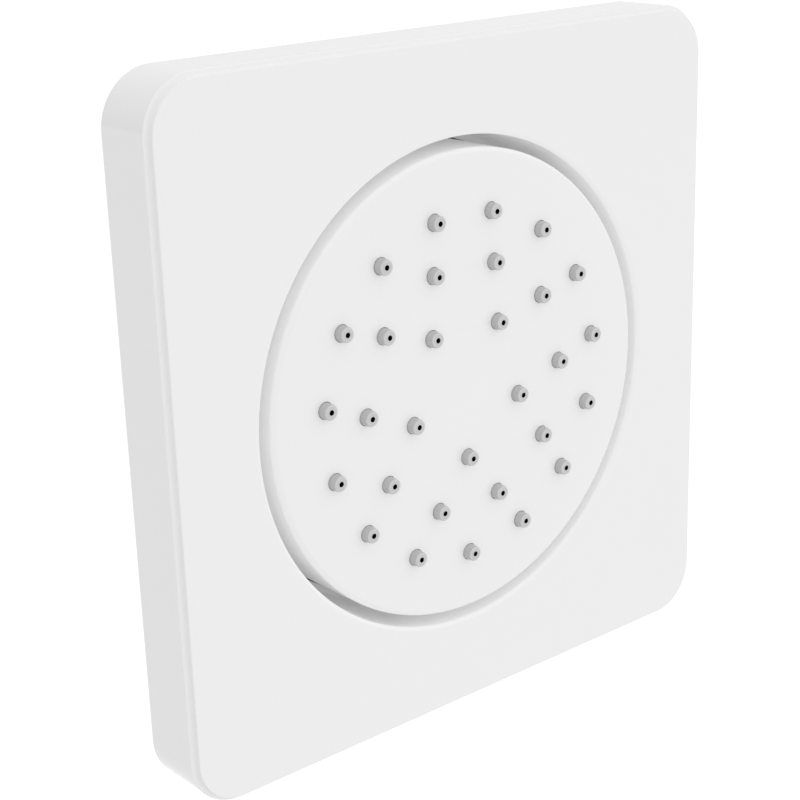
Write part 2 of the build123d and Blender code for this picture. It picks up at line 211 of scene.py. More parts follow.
def trace(outline: Outline, closed: bool) -> Piece:
    """Draws an outline of radius and depth in the XY plane, as a chain of extruded points.

    Args:
        outline: Radius and depth of each point.
        closed: Whether the last point is joined to the first.

    Returns:
        A mesh of edges.
    """
    bpy.ops.mesh.primitive_plane_add(size=1.0)
    piece = bpy.context.object
    points = [*outline, outline[0]] if closed else outline
    with editing(piece):
        bpy.ops.mesh.select_all(action="SELECT")
        bpy.ops.mesh.merge(type="CENTER")
        bpy.ops.transform.translate(value=(*points[0], 0.0))
        for here, there in zip(points, points[1:]):
            extrude(there[0] - here[0], there[1] - here[1], 0.0)
        bpy.ops.mesh.select_all(action="SELECT")
        bpy.ops.mesh.remove_doubles(threshold=NEAR / 10)
    return piece


def turned(outline: Outline, steps: int, closed: bool = False) -> Piece:
    """Spins an outline about the jet's axis.

    Args:
        outline: Radius and depth of each point.
        steps: Number of steps round the axis.
        closed: Whether the last point is joined to the first, which gives a solid ring.

    Returns:
        The turned mesh.
    """
    piece = trace(outline, closed)
    with editing(piece):
        bpy.ops.mesh.select_all(action="SELECT")
        bpy.ops.mesh.spin(steps=steps, angle=math.tau, center=(0, 0, 0), axis=(0, 1, 0))
        bpy.ops.mesh.select_all(action="SELECT")
        bpy.ops.mesh.remove_doubles(threshold=NEAR / 10)
        bpy.ops.mesh.normals_make_consistent(inside=False)
    return piece


def open_tube(radius: float, start: float, end: float, steps: int) -> Piece:
    """A tube with open ends along Y: the wall of a round hole.

    Args:
        radius: Radius of the hole.
        start: Depth of its front end.
        end: Depth of its back end.
        steps: Number of steps round it.

    Returns:
        The tube.
    """
    quarter = math.radians(90)
    bpy.ops.mesh.primitive_circle_add(vertices=steps, radius=radius, location=(0, start, 0), rotation=(quarter, 0, 0))
    piece = bpy.context.object
    place(piece)
    with editing(piece):
        bpy.ops.mesh.select_all(action="SELECT")
        extrude(0.0, end - start, 0.0)
    return piece


def block(size: Vector, centre: Vector) -> Piece:
    """A box at its size and place, the start of a squared piece.

    Args:
        size: Lengths along X, Y and Z.
        centre: Its middle.

    Returns:
        The box.
    """
    bpy.ops.mesh.primitive_cube_add(size=1.0, location=centre, scale=size)
    piece = bpy.context.object
    place(piece)
    return piece


def place(piece: Piece) -> None:
    """Moves a piece's place, turn and scale into its mesh."""
    bpy.ops.object.select_all(action="DESELECT")
    piece.select_set(True)
    bpy.context.view_layer.objects.active = piece
    bpy.ops.object.transform_apply(location=True, rotation=True, scale=True)


def copies(piece: Piece, moves: list[Matrix]) -> list[Piece]:
    """Copies of a piece with meshes of their own; the first move is given to the piece itself.

    Args:
        piece: The piece that is modelled once.
        moves: One move for each copy.

    Returns:
        The moved pieces.
    """
    twins = [piece]
    for _ in moves[1:]:
        twin = piece.copy()
        twin.data = piece.data.copy()
        bpy.context.scene.collection.objects.link(twin)
        twins.append(twin)
    for twin, move in zip(twins, moves):
        twin.data.transform(move)
    return twins


def shifted(places: list[Vector]) -> list[Matrix]:
    """One move to each place."""
    return [Matrix.Translation(spot) for spot in places]


def joined(pieces: list[Piece]) -> Piece:
    """Joins meshes into the first of them.

    Args:
        pieces: The meshes.

    Returns:
        The first mesh, which now holds them all.
    """
    bpy.ops.object.select_all(action="DESELECT")
    for piece in pieces:
        piece.select_set(True)
    bpy.context.view_layer.objects.active = pieces[0]
    bpy.ops.object.join()
    return pieces[0]


def close_plane(piece: Piece, depth: float) -> None:
    """Fills the flat area between the open edges in one plane, round the holes in it.

    Args:
        piece: The mesh with the open edges.
        depth: Y of the plane.
    """
    with editing(piece):
        pick(piece, Element.EDGE, open_edge_at(depth))
        bpy.ops.mesh.fill(use_beauty=False)


def combine(piece: Piece, tool: Piece, way: Solid) -> None:
    """Adds a solid to a piece, cuts it out of it, or keeps what they share.

    Args:
        piece: The piece that is changed.
        tool: The other solid, which is used up.
        way: How they are combined.
    """
    modifier = piece.modifiers.new("combine", "BOOLEAN")
    modifier.operation = way.value
    modifier.solver = "EXACT"
    modifier.object = tool
    apply_modifier(piece, modifier)
    bpy.data.objects.remove(tool)


def apply_modifier(piece: Piece, modifier: bpy.types.Modifier) -> None:
    """Applies one modifier of a piece."""
    bpy.ops.object.select_all(action="DESELECT")
    piece.select_set(True)
    bpy.context.view_layer.objects.active = piece
    bpy.ops.object.modifier_apply(modifier=modifier.name)


def soften(piece: Piece, width: float, steps: int = 2) -> None:
    """Rounds the sharp edges of a piece.

    Args:
        piece: The piece.
        width: Width of the rounding.
        steps: Number of steps across it.
    """
    modifier = piece.modifiers.new("round", "BEVEL")
    modifier.width = width
    modifier.segments = steps
    modifier.limit_method = "ANGLE"
    modifier.angle_limit = math.radians(SMOOTH_DEG)
    modifier.use_clamp_overlap = True
    apply_modifier(piece, modifier)


def finished(piece: Piece, node: str, body: str, finishes: "list[Finish]") -> Piece:
    """Shades a piece, scales it to metres, dresses it and seats it in the frame.

    Args:
        piece: The modelled mesh, in millimetres.
        node: The CAD node that it stands for.
        body: The CAD body that it rides on.
        finishes: Its finishes, in the order of its face groups; the first names its material slot.

    Returns:
        The finished piece.
    """
    with editing(piece):
        bpy.ops.mesh.select_all(action="SELECT")
        bpy.ops.mesh.normals_make_consistent(inside=False)
    bpy.ops.object.shade_smooth_by_angle(angle=math.radians(SMOOTH_DEG))
    weighted = piece.modifiers.new("flats", "WEIGHTED_NORMAL")
    weighted.keep_sharp = True
    apply_modifier(piece, weighted)
    piece.scale = (1 / PER_METRE,) * 3
    place(piece)
    piece.name = f"{node}_piece"
    groups = [face.material_index for face in piece.data.polygons]
    piece.data.materials.clear()
    for finish in finishes:
        piece.data.materials.append(finish.material())
    piece.data.polygons.foreach_set("material_index", groups)
    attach(piece, body)
    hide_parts(node)
    log.info("%s: %d faces on %s", piece.name, len(piece.data.polygons), body)
    return piece


def linear(hex_colour: str) -> tuple[float, float, float, float]:
    """Turns an sRGB hex value into linear colour.

    Args:
        hex_colour: A value such as #E8E8E8.

    Returns:
        Linear red, green, blue and an alpha of one.
    """
    shares = [int(hex_colour[start : start + 2], 16) / 255 for start in (1, 3, 5)]
    red, green, blue = [s / 12.92 if s <= 0.04045 else ((s + 0.055) / 1.055) ** 2.4 for s in shares]
    return red, green, blue, 1.0


def add_node(
    tree: bpy.types.NodeTree,
    kind: str,
    links: dict[str | int, bpy.types.NodeSocket] | None = None,
    inputs: dict[str | int, Any] | None = None,
    **settings: Any,
) -> bpy.types.Node:
    """Adds a node with its settings and links.

    Args:
        tree: The tree that gets the node.
        kind: The node's type.
        links: Output sockets to link, by the name or number of the input.
        inputs: Constants, by the name or number of the input.
        settings: The node's own properties.

    Returns:
        The node.
    """
    node = tree.nodes.new(kind)
    for name, value in settings.items():
        setattr(node, name, value)
    for name, value in (inputs or {}).items():
        node.inputs[name].default_value = value
    for name, source in (links or {}).items():
        tree.links.new(source, node.inputs[name])
    return node


@dataclass(frozen=True)
class Finish:
    """A procedural surface, from what the real one is and how it was made."""

    name: str
    slot: str
    colour: str
    shade: str
    roughness: float
    marks: Marks = Marks.MOULDED
    metallic: float = 0.0
    ior: float = 1.5
    grain_mm: float = 0.5
    relief_mm: float = 0.004
    gloss_spread: float = 0.05
    cloud_mm: float = 30.0
    # Painted light: the next two fields set a faint glow over the whole surface and a stronger glow in the groove
    # that fades with depth.
    painted_fill_glow: float = 0.0
    groove_painted_glow: float = 0.0
    groove_r_mm: float = 42.35
    groove_half_mm: float = 1.1
    groove_fade_mm: float = 0.6
    groove_front_mm: float = -12.6
    groove_reach_mm: float = 13.0

    def material(self) -> bpy.types.Material:
        """The material of this finish, made once."""
        made = bpy.data.materials.get(self.name)
        if made is None:
            made = bpy.data.materials.new(self.name)
            made.use_nodes = True
            self.fill(made.node_tree)
        return made

    def coordinates(self, tree: bpy.types.NodeTree) -> bpy.types.NodeSocket:
        """Where the pattern is read: plain place, or distance from the axis and depth on a turned piece.

        Args:
            tree: The material's nodes.

        Returns:
            The vector socket.
        """
        spot = add_node(tree, "ShaderNodeTexCoord").outputs["Object"]
        if self.marks is Marks.MOULDED:
            return spot
        parts = add_node(tree, "ShaderNodeSeparateXYZ", {"Vector": spot})
        across = add_node(tree, "ShaderNodeCombineXYZ", {"X": parts.outputs["X"], "Z": parts.outputs["Z"]})
        reach = add_node(tree, "ShaderNodeVectorMath", {0: across.outputs[0]}, operation="LENGTH")
        return add_node(
            tree, "ShaderNodeCombineXYZ", {"X": reach.outputs["Value"], "Y": parts.outputs["Y"]}
        ).outputs[0]

    def painted_light_in_groove(self, tree: bpy.types.NodeTree) -> bpy.types.NodeSocket:
        """Painted light: a glow round the groove's radius that stands in for light bounced into the groove, and fades
        with its depth.

        Args:
            tree: The material's nodes.

        Returns:
            The socket with the strength of the painted glow.
        """
        spot = add_node(tree, "ShaderNodeTexCoord").outputs["Object"]
        parts = add_node(tree, "ShaderNodeSeparateXYZ", {"Vector": spot})
        across = add_node(tree, "ShaderNodeCombineXYZ", {"X": parts.outputs["X"], "Z": parts.outputs["Z"]})
        reach = add_node(tree, "ShaderNodeVectorMath", {0: across.outputs[0]}, operation="LENGTH").outputs["Value"]
        middle = self.groove_r_mm / PER_METRE
        apart = add_node(tree, "ShaderNodeMath", {0: reach}, {1: middle}, operation="SUBTRACT").outputs[0]
        aside = add_node(tree, "ShaderNodeMath", {0: apart}, operation="ABSOLUTE").outputs[0]
        within = add_node(
            tree,
            "ShaderNodeMapRange",
            {"Value": aside},
            {
                "From Min": self.groove_half_mm / PER_METRE,
                "From Max": (self.groove_half_mm + self.groove_fade_mm) / PER_METRE,
                "To Min": self.groove_painted_glow,
                "To Max": 0.0,
            },
        ).outputs[0]
        shallow = add_node(
            tree,
            "ShaderNodeMapRange",
            {"Value": parts.outputs["Y"]},
            {
                "From Min": self.groove_front_mm / PER_METRE,
                "From Max": (self.groove_front_mm + self.groove_reach_mm) / PER_METRE,
                "To Min": 1.0,
                "To Max": 0.0,
            },
        ).outputs[0]
        return add_node(
            tree, "ShaderNodeMath", {0: within, 1: shallow}, {2: self.painted_fill_glow}, operation="MULTIPLY_ADD"
        ).outputs[0]

    def fill(self, tree: bpy.types.NodeTree) -> None:
        """Builds the nodes of the finish.

        Args:
            tree: The material's nodes.
        """
        shader = tree.nodes["Principled BSDF"]
        shader.inputs["Metallic"].default_value = self.metallic
        if not self.metallic:
            shader.inputs["IOR"].default_value = self.ior
        where = self.coordinates(tree)
        grain = add_node(
            tree, "ShaderNodeTexNoise", {"Vector": where}, {"Scale": PER_METRE / self.grain_mm, "Detail": 3.0}
        ).outputs[0]
        clouds = add_node(
            tree, "ShaderNodeTexNoise", {"Vector": where}, {"Scale": PER_METRE / self.cloud_mm, "Detail": 2.0}
        ).outputs[0]
        tone = add_node(
            tree,
            "ShaderNodeMix",
            {"Factor": clouds},
            {6: linear(self.shade), 7: linear(self.colour)},
            data_type="RGBA",
        )
        gloss = add_node(
            tree,
            "ShaderNodeMapRange",
            {"Value": grain},
            {"To Min": self.roughness - self.gloss_spread, "To Max": self.roughness + self.gloss_spread},
        )
        bump = add_node(
            tree, "ShaderNodeBump", {"Height": grain}, {"Strength": 1.0, "Distance": self.relief_mm / PER_METRE}
        )
        # Painted light: the surface glows, standing in for fill light and for light bounced into the groove.
        shader.inputs["Emission Strength"].default_value = self.painted_fill_glow
        if self.groove_painted_glow:
            tree.links.new(self.painted_light_in_groove(tree), shader.inputs["Emission Strength"])
        tree.links.new(tone.outputs[2], shader.inputs["Base Color"])
        tree.links.new(tone.outputs[2], shader.inputs["Emission Color"])
        tree.links.new(gloss.outputs[0], shader.inputs["Roughness"])
        tree.links.new(bump.outputs[0], shader.inputs["Normal"])


# White ABS from a polished mould: an even, clean white with a soft gloss that brightens every grazing edge. It
# carries
# painted light: a faint glow on the whole shell, stronger in the groove, so that the groove stays grey instead of
# black.
WHITE_SHELL = Finish(
    "moulded_white_abs_with_painted_glow",
    "white_shell",
    "#F4F4F4",
    "#F3F3F3",
    0.14,
    grain_mm=0.8,
    relief_mm=0.0006,
    gloss_spread=0.03,
    painted_fill_glow=0.06,
    groove_painted_glow=0.065,
)
# Plain polypropylene, moulded and left as it comes: a duller white that is seen only in the groove and behind.
CUP_PLASTIC = Finish("plain_white_polypropylene", "cup_plastic", "#E2E2E2", "#DDDDDD", 0.55, relief_mm=0.006)
# Liquid silicone, moulded: light grey, soft to the eye, with almost no gloss, here darkened as painted shade for the
# nozzle flanks.
SHADED_FLANK_SILICONE = Finish("silicone_painted_flank_shade", "grey_silicone", "#C8C8C8", "#C4C4C4", 0.5, ior=1.41, grain_mm=0.3)
# A paler copy of the same silicone, painted light on the flat tips that face forward.
LIT_TIP_SILICONE = Finish("tip_silicone_painted_light", "grey_silicone", "#DADADA", "#D6D6D6", 0.5, ior=1.41, grain_mm=0.3)
# Painted shade in the bore of a nozzle: near black, for a deep, narrow hole that the eye reads as black.
BORE_PAINTED_SHADOW = Finish("bore_painted_shadow_black", "grey_silicone", "#060606", "#040404", 0.9, ior=1.0)
# EPDM rubber, moulded: near black and dull.
BLACK_RUBBER = Finish("black_epdm_rubber", "black_rubber", "#1B1B1C", "#161617", 0.75, grain_mm=0.4, relief_mm=0.01)
# Brass, turned from bar: warm yellow with fine rings from the tool.
TURNED_BRASS = Finish(
    "turned_brass", "brass", "#D9BE83", "#CDB075", 0.3, Marks.TURNED, metallic=1.0, grain_mm=0.25, relief_mm=0.003
)
# Stainless steel, punched and tumbled: cool grey with a soft shine.
TUMBLED_STEEL = Finish(
    "tumbled_stainless_steel", "steel", "#C4C5C7", "#B9BABD", 0.34, Marks.TURNED, metallic=1.0, relief_mm=0.003
)
# Acetal, turned: milky and slightly waxy.
ACETAL = Finish("natural_acetal", "acetal", "#E6E5DE", "#DFDED6", 0.4, Marks.TURNED, grain_mm=0.3)
# Filled nylon, moulded: mid grey and matt, so the inside of the head stays dark.
GREY_NYLON = Finish("grey_filled_nylon", "grey_plastic", "#77797B", "#6E7072", 0.6, grain_mm=0.35, relief_mm=0.008)

CAD_FINISHES = {
    "plate_grips": BLACK_RUBBER,
    "hub_washer": BLACK_RUBBER,
    "flow_regulator": GREY_NYLON,
    "regulator_o_ring": BLACK_RUBBER,
    "ball_seat": ACETAL,
    "ball_seal": BLACK_RUBBER,
    "nozzle_plate": GREY_NYLON,
    "chamber_o_ring": BLACK_RUBBER,
    "head_back": GREY_NYLON,
    "head_screws": TUMBLED_STEEL,
    "socket_nut": TURNED_BRASS,
}


def flat_corners(size: Vector, centre: Vector, corner: float, steps: int) -> Piece:
    """A block with its four edges along Y rounded.

    Args:
        size: Lengths along X, Y and Z.
        centre: Its middle.
        corner: Radius of the corners.
        steps: Number of steps round each corner.

    Returns:
        The block.
    """
    piece = block(size, centre)
    with editing(piece):
        pick(piece, Element.EDGE, lambda edge: abs(edge.verts[0].co.y - edge.verts[1].co.y) > NEAR)
        bpy.ops.mesh.bevel(offset=corner, segments=steps, profile=0.5, affect="EDGES")
    return piece


@dataclass
class WallPlate:
    """Square shell on the wall, with a stepped rim and the deep groove round its opening."""

    side: float
    front: float
    tube_end: float
    corner: float = 9.4
    corner_steps: int = 24
    wall: float = 2.4
    rim_inset: float = 0.85
    rim_step: float = 1.25
    rim_cove: float = 0.5
    edge_round: float = 0.2
    edge_steps: int = 4
    opening_r: float = 43.4
    opening_round: float = 0.8
    opening_wall: float = 1.8
    opening_steps: int = 256
    floor_wall: float = 1.5
    floor_r: float = 41.59
    floor_fillet: float = 0.8
    floor_round: float = 0.1
    rib_wall: float = 1.6
    rib_height: float = 4.5
    rib_offset: float = 22.0
    peg_r: float = 2.2
    peg_chamfer: float = 0.6
    peg_tip: float = -2.0
    peg_x: float = 37.5
    peg_z: float = 48.0

    @classmethod
    def from_frame(cls) -> "WallPlate":
        """The plate at the size that the frame gives."""
        low, high = node_box("face_plate")
        return cls(side=high.x - low.x, front=low.y, tube_end=high.y)

    @property
    def inner_front(self) -> float:
        """Depth of the shell's inside face."""
        return self.front + self.wall

    def shell(self) -> Piece:
        """The square shell with its stepped rim, open at the front face and at the inside face."""
        ledge = self.front + self.rim_step
        size = Vector((self.side, -ledge, self.side))
        piece = flat_corners(size, Vector((0, ledge / 2, 0)), self.corner, self.corner_steps)
        with editing(piece):
            pick(piece, Element.FACE, lambda face: face.normal.y < -0.99)
            bpy.ops.mesh.inset(thickness=self.rim_inset)
            extrude(0.0, -self.rim_step, 0.0)
            pick(piece, Element.EDGE, is_round_of)
            bpy.ops.mesh.bevel(offset=self.edge_round, segments=self.edge_steps, profile=0.5, affect="EDGES")
            pick(piece, Element.EDGE, is_cove)
            bpy.ops.mesh.bevel(offset=self.rim_cove, segments=self.edge_steps, profile=0.5, affect="EDGES")
            pick(piece, Element.FACE, lambda face: face.normal.y > 0.99)
            bpy.ops.mesh.inset(thickness=self.wall)
            extrude(0.0, self.inner_front, 0.0)
            bpy.ops.mesh.delete(type="ONLY_FACE")
            pick(piece, Element.FACE, lambda face: face.calc_center_median().y < self.front + NEAR)
            bpy.ops.mesh.delete(type="ONLY_FACE")
        return piece

    def opening(self) -> Piece:
        """The rounded mouth of the opening, the tube behind it and the floor of the groove at its end.

        Returns:
            The turned skin, open at the front face and at the inside face.
        """
        mouth_r = self.opening_r + self.opening_round
        tube_r = self.opening_r + self.opening_wall
        floor = self.tube_end - self.floor_wall
        corner = (self.opening_r - self.floor_fillet, floor - self.floor_fillet)
        edge = (self.floor_r + self.floor_round, floor + self.floor_round)
        outline = [
            *arc((mouth_r, self.front + self.opening_round), self.opening_round, -90, -180, 8),
            *arc(corner, self.floor_fillet, 0, 90, 8),
            *arc(edge, self.floor_round, -90, -180, 3),
            (self.floor_r, self.tube_end),
            (tube_r, self.tube_end),
            (tube_r, self.inner_front),
        ]
        return turned(outline, self.opening_steps)

    def ribs(self) -> Piece:
        """Pairs of ribs from the tube to each side wall."""
        inner = math.sqrt((self.opening_r + self.opening_wall / 2) ** 2 - self.rib_offset**2)
        outer = self.side / 2 - self.wall / 2
        height = self.wall / 2 + self.rib_height
        size = Vector((self.rib_wall, height, outer - inner))
        middle = Vector((self.rib_offset, self.inner_front - self.wall / 2 + height / 2, (inner + outer) / 2))
        turns = [Matrix.Rotation(math.radians(90 * index), 4, "Y") for index in range(4)]
        aside = [Matrix.Identity(4), Matrix.Translation((-2 * self.rib_offset, 0, 0))]
        return joined(copies(block(size, middle), [turn @ move for turn in turns for move in aside]))

    def pegs(self) -> Piece:
        """The four push-in pegs behind the plate."""
        start = self.inner_front - self.wall / 2
        outline = [
            (0.0, start),
            (self.peg_r, start),
            (self.peg_r, self.peg_tip - self.peg_chamfer),
            (self.peg_r - self.peg_chamfer, self.peg_tip),
            (0.0, self.peg_tip),
        ]
        places = [Vector((x * self.peg_x, 0, z * self.peg_z)) for x in (-1, 1) for z in (-1, 1)]
        return joined(copies(turned(outline, 32), shifted(places)))

    def build(self) -> Piece:
        """The finished plate."""
        piece = joined([self.shell(), self.opening()])
        close_plane(piece, self.front)
        close_plane(piece, self.inner_front)
        with editing(piece):
            bpy.ops.mesh.select_all(action="SELECT")
            bpy.ops.mesh.normals_make_consistent(inside=False)
        combine(piece, self.ribs(), Solid.ADD)
        combine(piece, self.pegs(), Solid.ADD)
        return finished(piece, "face_plate", "fixture", [WHITE_SHELL])


@dataclass
class SprayHead:
    """Round head with its face and the soft mat of nozzles."""

    radius: float
    front: float
    rear: float
    tip: float
    mat_r: float
    mat_back: float
    round_r: float = 1.0
    face_wall: float = 1.85
    side_wall: float = 2.0
    rear_round: float = 0.25
    land_gap: float = 0.2
    land_width: float = 2.6
    land_rear: float = -6.33
    rim_steps: int = 256
    rings: list[tuple[int, float, float]] = field(
        default_factory=lambda: [(5, 12.75, -90.0), (10, 22.15, 0.0), (15, 30.7, 6.0)]
    )
    nozzle_steps: int = 40
    base_r: float = 1.42
    tip_r: float = 1.33
    tip_round: float = 0.3
    hole_gap: float = 0.1
    orifice_r: float = 0.46
    orifice_round: float = 0.05
    orifice_length: float = 1.2
    entry_r: float = 1.0

    @classmethod
    def from_frame(cls) -> "SprayHead":
        """The head at the size that the frame gives."""
        face_low, face_high = node_box("spray_face")
        mat_low, mat_high = node_box("nozzle_mat")
        return cls(
            radius=face_high.x,
            front=face_low.y,
            rear=face_high.y,
            tip=mat_low.y,
            mat_r=mat_high.x,
            mat_back=mat_high.y,
        )

    @property
    def face_back(self) -> float:
        """Depth of the inside of the face, where the mat lies."""
        return self.front + self.face_wall

    @property
    def nozzle_places(self) -> list[Vector]:
        """Places of all the nozzles."""
        return [spot for ring in self.rings for spot in ring_of(*ring)]

    def face(self) -> Piece:
        """The round white cup with a hole for each nozzle."""
        shoulder = self.radius - self.round_r
        inner = self.radius - self.side_wall
        land_r = self.mat_r + self.land_gap
        outline = [
            *arc((shoulder, self.front + self.round_r), self.round_r, -90, 0, 10),
            (self.radius, self.rear - self.rear_round),
            (self.radius - self.rear_round, self.rear),
            (inner, self.rear),
            (inner, self.face_back),
            (land_r + self.land_width, self.face_back),
            (land_r + self.land_width, self.land_rear),
            (land_r, self.land_rear),
            (land_r, self.face_back),
        ]
        hole = open_tube(self.base_r + self.hole_gap, self.front, self.face_back, self.nozzle_steps)
        piece = joined([turned(outline, self.rim_steps), *copies(hole, shifted(self.nozzle_places))])
        close_plane(piece, self.front)
        close_plane(piece, self.face_back)
        return finished(piece, "spray_face", "head", [WHITE_SHELL])

    def nozzle(self) -> Piece:
        """One nozzle on the axis, from the sheet's front round its tip to the back of its bore."""
        rim_r = self.tip_r - self.tip_round
        mouth_r = self.orifice_r + self.orifice_round
        outline = [
            (self.base_r, self.face_back),
            (self.base_r, self.front),
            *arc((rim_r, self.tip + self.tip_round), self.tip_round, 0, -90, 6),
            *arc((mouth_r, self.tip + self.orifice_round), self.orifice_round, -90, -180, 3),
            (self.orifice_r, self.tip + self.orifice_length),
            (self.entry_r, self.mat_back),
        ]
        return turned(outline, self.nozzle_steps)

    def mat(self) -> Piece:
        """The soft sheet with all the nozzles; the tips, flanks and bores carry painted light and shade in finishes
        of their own.
        """
        edge = turned([(self.mat_r, self.face_back), (self.mat_r, self.mat_back)], self.rim_steps)
        nozzle = self.nozzle()
        finishes = [SHADED_FLANK_SILICONE, BORE_PAINTED_SHADOW, LIT_TIP_SILICONE]
        for finish in finishes:
            nozzle.data.materials.append(finish.material())
        # Painted light and shade: faces that look forward get the paler tip copy, the rest keep the darker flank
        # copy.
        for face in nozzle.data.polygons:
            if face.normal.y < -0.6:
                face.material_index = finishes.index(LIT_TIP_SILICONE)
            # Painted shade: the bore's walls are painted near black.
            elif math.hypot(face.center.x, face.center.z) < self.entry_r:
                face.material_index = finishes.index(BORE_PAINTED_SHADOW)
        piece = joined([*copies(nozzle, shifted(self.nozzle_places)), edge])
        close_plane(piece, self.face_back)
        close_plane(piece, self.mat_back)
        return finished(piece, "nozzle_mat", "head", finishes)

    def build(self) -> None:
        """The finished face and mat."""
        self.face()
        self.mat()


@dataclass
class MountingCup:
    """Flange on the wall and cup in its recess, with the hub for the inlet."""

    side: float
    sockets_front: float
    rib_back: float
    flange_wall: float = 2.0
    corner: float = 8.0
    corner_steps: int = 16
    spigot_r: float = 45.4
    spigot_floor: float = 5.4
    shoulder_r: float = 47.9
    shoulder_back: float = 7.9
    cup_r: float = 43.6
    cup_wall: float = 2.0
    floor: float = 15.446
    floor_wall: float = 2.5
    fillet: float = 2.5
    hub_hole_r: float = 10.68
    hub_r: float = 16.588
    hub_land: float = 3.0
    rib_wall: float = 1.6
    rib_count: int = 8
    steps: int = 192
    screw_at: float = 48.0
    screw_hole_r: float = 2.25
    socket_x: float = 37.5
    socket_r: float = 3.5
    socket_wall: float = 1.4
    socket_floor: float = -0.8

    @classmethod
    def from_frame(cls) -> "MountingCup":
        """The cup at the size that the frame gives."""
        low, high = node_box("mounting_cup")
        return cls(side=high.x - low.x, sockets_front=low.y, rib_back=high.y)

    def bowl(self) -> Piece:
        """The turned cup, from the flange's front through the hub to the flange's back."""
        outer_r = self.cup_r + self.cup_wall
        back = self.floor + self.floor_wall
        inside = self.cup_r - self.fillet
        outside = outer_r - self.fillet
        outline = [
            (self.spigot_r, -self.flange_wall),
            (self.spigot_r, self.spigot_floor),
            (self.cup_r, self.spigot_floor),
            *arc((inside, self.floor - self.fillet), self.fillet, 0, 90, 8),
            (self.hub_hole_r, self.floor),
            (self.hub_hole_r, back),
            (self.hub_r, back),
            (self.hub_r, self.rib_back),
            (self.hub_r + self.hub_land, self.rib_back),
            (self.hub_r + self.hub_land, back),
            *arc((outside, back - self.fillet), self.fillet, 90, 0, 8),
            (outer_r, self.shoulder_back),
            (self.shoulder_r, self.shoulder_back),
            (self.shoulder_r, 0.0),
        ]
        return turned(outline, self.steps)

    def flange_edge(self) -> Piece:
        """The flange's outer edge, open at the front and the back."""
        size = Vector((self.side, self.flange_wall, self.side))
        piece = flat_corners(size, Vector((0, -self.flange_wall / 2, 0)), self.corner, self.corner_steps)
        with editing(piece):
            pick(piece, Element.FACE, lambda face: abs(face.normal.y) > 0.99)
            bpy.ops.mesh.delete(type="ONLY_FACE")
        return piece

    def corners(self, x: float) -> list[Vector]:
        """Four places on the flange, mirrored left to right and top to bottom."""
        return [Vector((right * x, 0, up * self.screw_at)) for right in (-1, 1) for up in (-1, 1)]

    def screw_holes(self) -> list[Piece]:
        """The walls of the screw holes."""
        hole = open_tube(self.screw_hole_r, -self.flange_wall, 0.0, 32)
        return copies(hole, shifted(self.corners(self.screw_at)))

    def sockets(self) -> list[Piece]:
        """The sockets that hold the plate's pegs."""
        outer = self.socket_r + self.socket_wall
        outline = [
            (outer, -self.flange_wall),
            (outer, self.sockets_front),
            (self.socket_r, self.sockets_front),
            (self.socket_r, self.socket_floor),
            (0.0, self.socket_floor),
        ]
        return copies(turned(outline, 40), shifted(self.corners(self.socket_x)))

    def ribs(self) -> Piece:
        """Radial webs behind the cup's floor."""
        inner = self.hub_r + self.hub_land / 2
        outer = self.cup_r + self.cup_wall - self.fillet
        start = self.floor + self.floor_wall / 2
        size = Vector((outer - inner, self.rib_back - start, self.rib_wall))
        middle = Vector(((inner + outer) / 2, (start + self.rib_back) / 2, 0))
        step = 2 * math.pi / self.rib_count
        turns = [Matrix.Rotation(step * (index + 0.5), 4, "Y") for index in range(self.rib_count)]
        return joined(copies(block(size, middle), turns))

    def build(self) -> Piece:
        """The finished cup."""
        piece = joined([self.bowl(), self.flange_edge(), *self.screw_holes(), *self.sockets()])
        close_plane(piece, -self.flange_wall)
        close_plane(piece, 0.0)
        with editing(piece):
            bpy.ops.mesh.select_all(action="SELECT")
            bpy.ops.mesh.normals_make_consistent(inside=False)
        combine(piece, self.ribs(), Solid.ADD)
        return finished(piece, "mounting_cup", "fixture", [CUP_PLASTIC])


